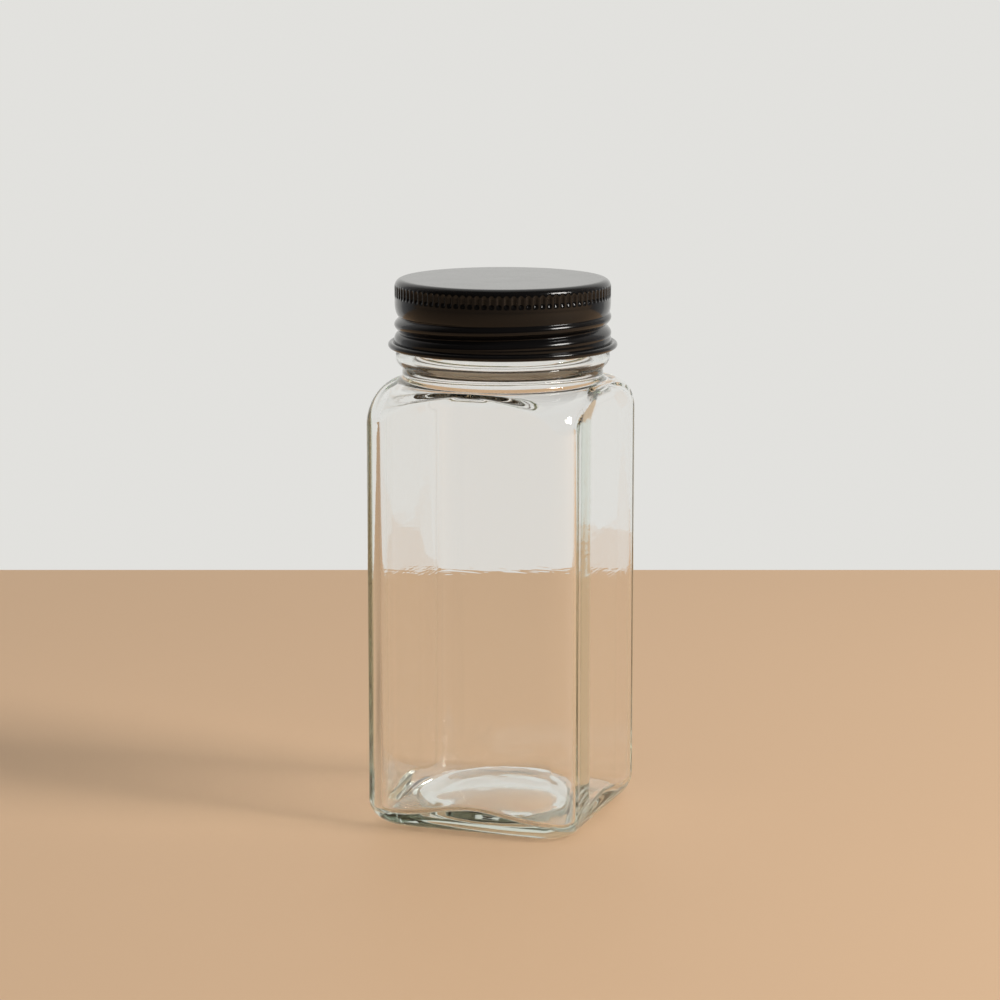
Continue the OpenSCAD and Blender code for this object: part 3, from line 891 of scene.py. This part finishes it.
def make_floor(s):
    """A table top with rounded edges whose far edge is the horizon. It lies a hair below the jar."""
    drop, edge, deep = 0.04 * MM, 2 * MM, 20 * MM
    ahead, right = -direction(s.heading, 0), direction(s.heading + math.pi / 2, 0)
    rings = []
    for inset, z in ((0, -deep), (0, -edge), (0.3 * edge, -0.3 * edge), (edge, 0), (100 * edge, 0)):
        half, near, far = s.floor_half - inset, inset - s.floor_near, s.floor_far - inset
        corners = ((-half, near), (half, near), (half, far), (-half, far))
        rings.append([right * x + ahead * y + Vector((0, 0, z - drop)) for x, y in corners])
    floor = ring_mesh("stage_floor", rings, True, smooth=False)
    made, shader, place = new_material("stage_floor")
    set_plain(shader, Roughness=0.6, Specular_IOR_Level=0.3)
    tone = noise(place, 9, detail=3.0)
    drive(shader, Base_Color=blend(tone, scaled(s.floor_colour, 0.97), s.floor_colour))
    floor.data.materials.append(made)


def make_flag(s):
    """A dark dome behind the camera that only gloss sees, so that black lacquer and clear glass have depth. Its
    colour is painted reflection: near black for the unlit room, paler towards its sides and overhead.
    """
    # dark stands for the unlit room behind the camera and pale for light off walls at the sides; both are painted
    # reflection
    away, dark, pale = 1.7, (0.006, 0.006, 0.007), (0.72, 0.74, 0.78)
    turns = np.radians(np.linspace(-136, 136, 35)) + s.heading
    heights = np.radians(np.linspace(-12, 88, 15))
    verts = [direction(a, h) * away for h in heights for a in turns]
    n = len(turns)
    faces = [(j * n + k, j * n + k + 1, (j + 1) * n + k + 1, (j + 1) * n + k)
             for j in range(len(heights) - 1) for k in range(n - 1)]
    flag = new_object("stage_flag", verts, faces)
    made, shader, place = new_material("stage_flag")
    set_plain(shader, Roughness=1.0, Specular_IOR_Level=0.0)
    z, cos_a, sin_a = around(place)[2:]
    behind = direction(s.heading, 0)
    # painted reflection: the dome pales towards its sides and a little overhead, which paints sheen on the
    # lacquer's flutes and crests
    side = 1 - (cos_a * behind.x + sin_a * behind.y).ease(-0.72, 0.6)
    light = side * side + z.ease(0.5, 1.3) * 0.07
    drive(shader, Base_Color=blend(light, dark, pale))
    flag.data.materials.append(made)
    for ray in ("camera", "diffuse", "transmission", "volume_scatter", "shadow"):
        setattr(flag, "visible_" + ray, False)


def make_world(s):
    """An even surround, at full strength for the rays that see it and weaker as a light."""
    world = bpy.data.worlds.new("studio")
    bpy.context.scene.world = world
    world.use_nodes = True
    tree = world.node_tree
    tree.nodes.clear()
    kinds = ("Is Camera Ray", "Is Glossy Ray", "Is Transmission Ray")
    camera, glossy, through = (add_node(tree, "ShaderNodeLightPath", output=kind) for kind in kinds)
    seen = camera.math("MAXIMUM", glossy).math("MAXIMUM", through)
    strength = seen * (1 - s.fill) + s.fill
    light = add_node(tree, "ShaderNodeBackground", None, {"Color": (*s.wall_colour, 1), "Strength": strength})
    tree.links.new(light.socket, tree.nodes.new("ShaderNodeOutputWorld").inputs[0])


def make_lamp(s):
    lamp = bpy.data.lights.new("soft_key", "AREA")
    lamp.shape, lamp.size, lamp.energy, lamp.color = "DISK", s.key_side, s.key_power, s.key_colour
    stand = bpy.data.objects.new("soft_key", lamp)
    stand.location = direction(s.key_azimuth, s.key_height) * s.key_away
    stand.rotation_euler = (-stand.location).to_track_quat("-Z", "Y").to_euler()
    bpy.context.scene.collection.objects.link(stand)


def make_camera(s):
    camera = bpy.data.objects.new("camera", bpy.data.cameras.new("camera"))
    camera.data.lens, camera.data.sensor_width, camera.data.clip_start = s.lens, 36, 10 * MM
    camera.location = s.eye
    sight = -direction(s.heading, s.pitch)
    camera.rotation_euler = sight.to_track_quat("-Z", "Y").to_euler()
    bpy.context.scene.collection.objects.link(camera)
    bpy.context.scene.camera = camera


class SPICEJAR_OT_stage(bpy.types.Operator):
    """Set up the camera, the pale floor and backdrop, and the soft light"""

    bl_idname = "spicejar.stage"
    bl_label = "Stage"

    def execute(self, context):
        s = context.scene.jar_stage
        for make in (make_camera, make_floor, make_flag, make_world, make_lamp):
            make(s)
        context.scene.view_settings.view_transform = "Standard"
        for kind in ("max", "transmission", "glossy"):
            setattr(context.scene.cycles, kind + "_bounces", 32)
        return {"FINISHED"}


# ---------------------------------------------------------------- panel and run

OPERATORS = (SPICEJAR_OT_stage, SPICEJAR_OT_glass, SPICEJAR_OT_sifter, SPICEJAR_OT_liner, SPICEJAR_OT_lid)


class SPICEJAR_PT_panel(bpy.types.Panel):
    """Lists the pieces of the jar"""

    bl_label = "Spice jar"
    bl_idname = "SPICEJAR_PT_panel"
    bl_space_type = "VIEW_3D"
    bl_region_type = "UI"
    bl_category = "Spice Jar"

    def draw(self, context):
        for operator in OPERATORS:
            self.layout.operator(operator.bl_idname)


CLASSES = (*SETTINGS.values(), *OPERATORS, SPICEJAR_PT_panel)


def register():
    for made in CLASSES:
        bpy.utils.register_class(made)
    for name, group in SETTINGS.items():
        setattr(bpy.types.Scene, name, bpy.props.PointerProperty(type=group))


def unregister():
    for name in SETTINGS:
        delattr(bpy.types.Scene, name)
    for made in reversed(CLASSES):
        bpy.utils.unregister_class(made)


def main():
    register()
    for operator in OPERATORS:
        group, name = operator.bl_idname.split(".")
        getattr(getattr(bpy.ops, group), name)()


if __name__ == "__main__":
    main()
